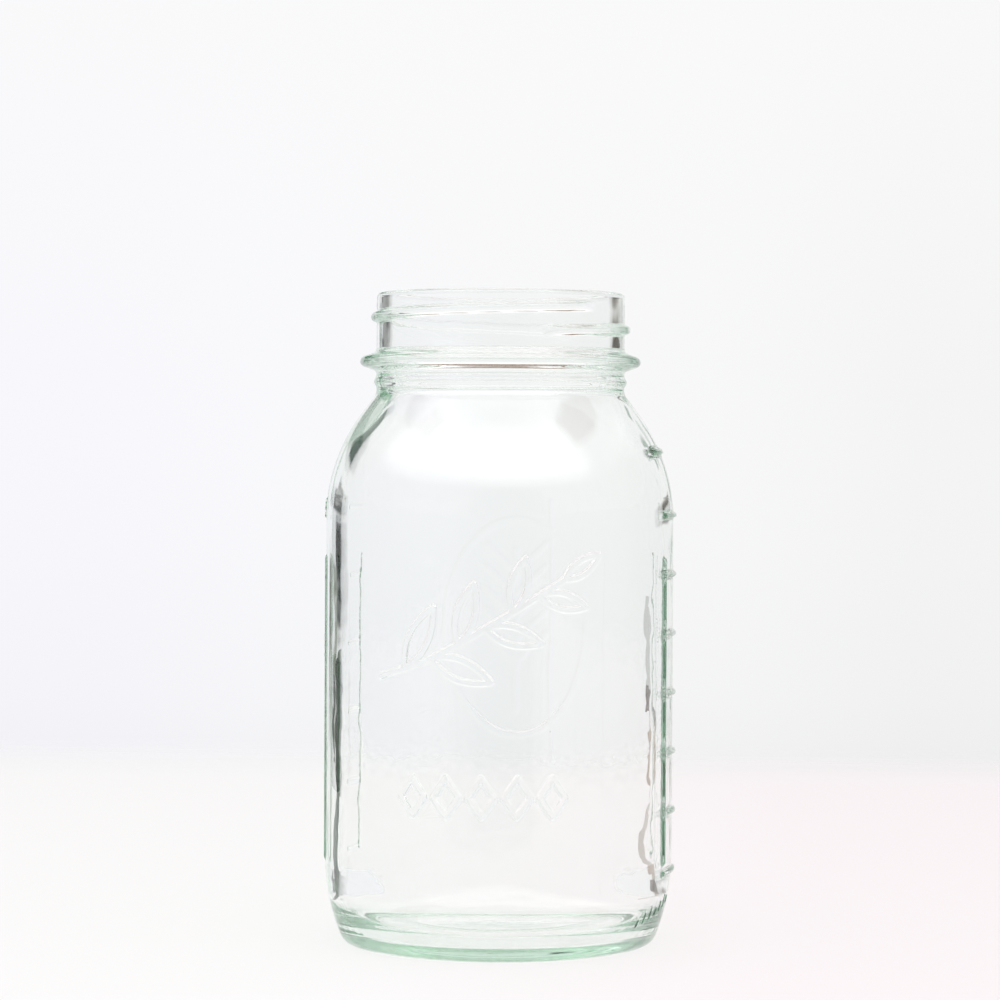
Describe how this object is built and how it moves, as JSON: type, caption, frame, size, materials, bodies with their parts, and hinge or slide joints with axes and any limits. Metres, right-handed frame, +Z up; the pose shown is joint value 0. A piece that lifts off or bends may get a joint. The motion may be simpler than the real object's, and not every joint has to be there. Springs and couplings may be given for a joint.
{
  "type": "glass preserving jar",
  "caption": "Clear glass quart preserving jar, open, with a screw-thread neck, a round ribbed body, raised measuring scales and a raised leaf emblem.",
  "frame": {"origin": "middle of the ring the jar stands on, at table height", "axes": "+Z up along the jar's axis to the mouth, -Y out of the front emblem, +X to the right seen from the front"},
  "size_m": [0.0965, 0.0962, 0.1774],
  "materials": {
    "clear_glass": "fire-polished clear soda-lime glass with a faint green tint"
  },
  "bodies": {
    "root": {"glass_jar": "clear_glass"}
  },
  "joints": []
}
